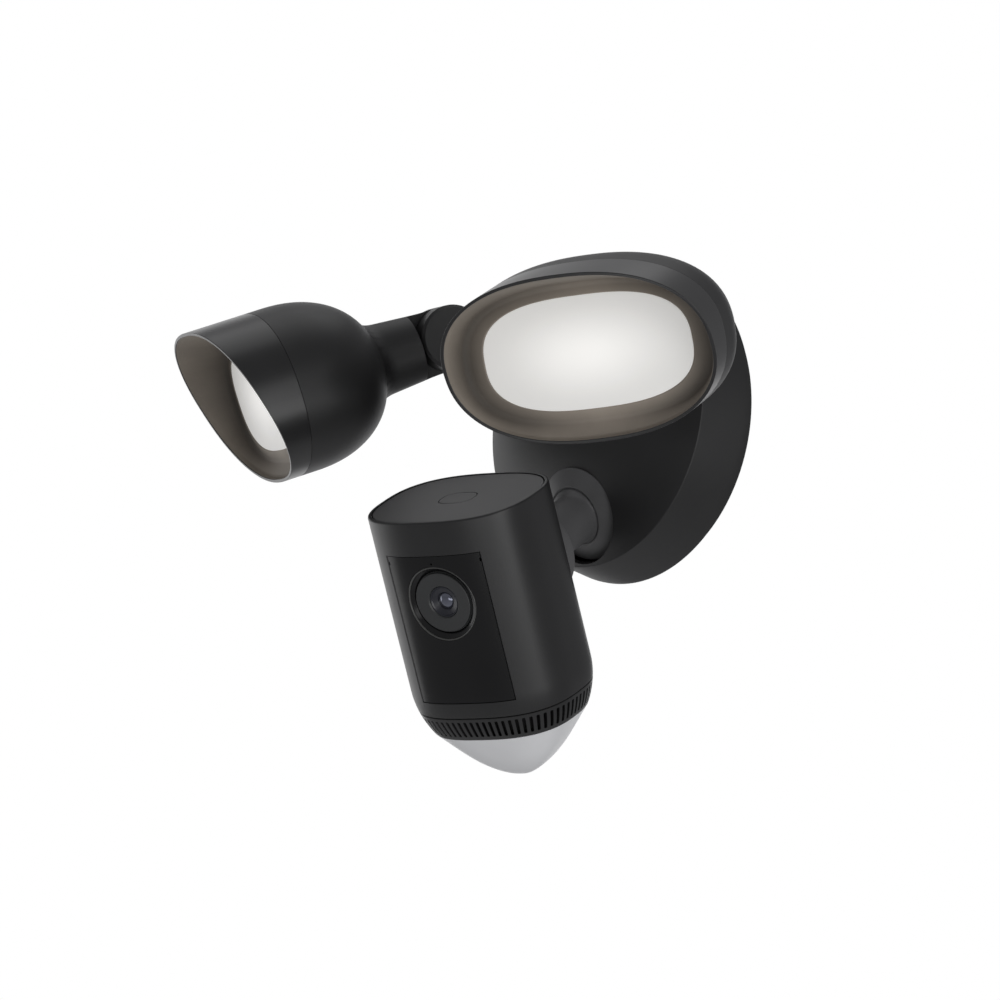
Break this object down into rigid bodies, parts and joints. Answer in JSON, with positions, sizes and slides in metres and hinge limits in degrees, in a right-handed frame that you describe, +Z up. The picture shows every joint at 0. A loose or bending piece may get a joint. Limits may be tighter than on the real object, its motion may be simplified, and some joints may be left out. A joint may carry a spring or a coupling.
{
  "type": "floodlight security camera",
  "caption": "Wall-mounted security camera with floodlight heads on swivelling arms and a ball-jointed camera with a lens window, speaker grille and motion sensor dome.",
  "frame": {"origin": "centre of the face that lies on the wall", "axes": "+Z up, +Y into the wall, the front faces -Y, +X to the right seen from the wall's front"},
  "size_m": [0.3238, 0.1769, 0.2305],
  "materials": {
    "housing_black": "fine moulded grain",
    "satin_black": "satin",
    "gloss_black": "polished",
    "lens_grey": "satin",
    "lens_glass": "coated",
    "reflector_grey": "satin",
    "diffuser_white": "frosted",
    "dome_white": "translucent",
    "steel": "plated",
    "aluminium": "as cast",
    "rubber": "matte",
    "board_green": "solder mask",
    "board_white": "solder mask",
    "led_yellow": "phosphor",
    "terminal_white": "moulded",
    "component_grey": "moulded"
  },
  "bodies": {
    "root": {"wall_gasket": "rubber", "mounting_bracket": "steel", "base_screws": "steel", "base_housing": "housing_black", "back_plate": "housing_black", "back_plate_screws": "steel", "wire_grommet": "rubber", "terminal_block": "terminal_white", "driver_board": "board_green", "driver_parts": "component_grey", "socket_ring": "housing_black"},
    "ball_pan": {"ball_liner": "rubber"},
    "stalk": {"camera_stalk": "satin_black", "swivel_screw": "steel"},
    "camera": {"swivel_pad": "housing_black", "pad_screws": "steel", "camera_barrel": "housing_black", "camera_lid": "satin_black", "button_switch": "component_grey", "front_panel": "gloss_black", "lens_bezel": "gloss_black", "lens_disc": "lens_grey", "lens_barrel": "gloss_black", "lens_glass": "lens_glass", "image_sensor": "component_grey", "main_board": "board_green", "speaker": "component_grey", "speaker_grille": "satin_black", "sensor_board": "board_green", "motion_sensor": "steel", "sensor_dome": "dome_white"},
    "button": {"lid_button": "satin_black"},
    "right_arm": {"right_arm": "housing_black", "right_arm_nut": "steel", "right_pivot_bolt": "steel"},
    "right_head": {"right_neck": "housing_black", "right_head_shell": "housing_black", "right_hood": "satin_black", "right_reflector": "reflector_grey", "right_diffuser": "diffuser_white", "right_led_board": "board_white", "right_leds": "led_yellow", "right_heat_sink": "aluminium"},
    "left_arm": {"left_arm": "housing_black", "left_arm_nut": "steel", "left_pivot_bolt": "steel"},
    "left_head": {"left_neck": "housing_black", "left_head_shell": "housing_black", "left_hood": "satin_black", "left_reflector": "reflector_grey", "left_diffuser": "diffuser_white", "left_led_board": "board_white", "left_leds": "led_yellow", "left_heat_sink": "aluminium"}
  },
  "joints": [
    {"name": "right_arm_turn", "type": "hinge", "parent": "root", "child": "right_arm", "pos_m": [0.064, -0.06, 0.035], "axis": [0.4462, -0.8949, 0], "range_deg": [-20, 20]},
    {"name": "right_head_tilt", "type": "hinge", "parent": "right_arm", "child": "right_head", "pos_m": [0.064, -0.06, 0.035], "axis": [0.8897, 0.4436, 0.108], "range_deg": [-40, 6]},
    {"name": "left_arm_turn", "type": "hinge", "parent": "root", "child": "left_arm", "pos_m": [-0.064, -0.06, 0.035], "axis": [0.4462, 0.8949, 0], "range_deg": [-20, 20]},
    {"name": "left_head_tilt", "type": "hinge", "parent": "left_arm", "child": "left_head", "pos_m": [-0.064, -0.06, 0.035], "axis": [0.8897, -0.4436, -0.108], "range_deg": [-40, 6]},
    {"name": "camera_pan", "type": "hinge", "parent": "root", "child": "ball_pan", "pos_m": [0, -0.033, -0.0435], "axis": [0, 0, 1], "range_deg": [-29, 1]},
    {"name": "camera_tilt", "type": "hinge", "parent": "ball_pan", "child": "stalk", "pos_m": [0, -0.033, -0.0435], "axis": [0.9703, 0.2419, 0], "range_deg": [-8, 4]},
    {"name": "camera_roll", "type": "hinge", "parent": "stalk", "child": "camera", "pos_m": [0, -0.033, -0.0435], "axis": [0.2095, -0.8403, -0.5], "range_deg": [-15, 15]},
    {"name": "button_press", "type": "slide", "parent": "camera", "child": "button", "axis": [-0.121, 0.4851, -0.866], "range_m": [0, 0.0006], "stiffness_N_per_m": 800, "springref_m": -0.0005}
  ]
}
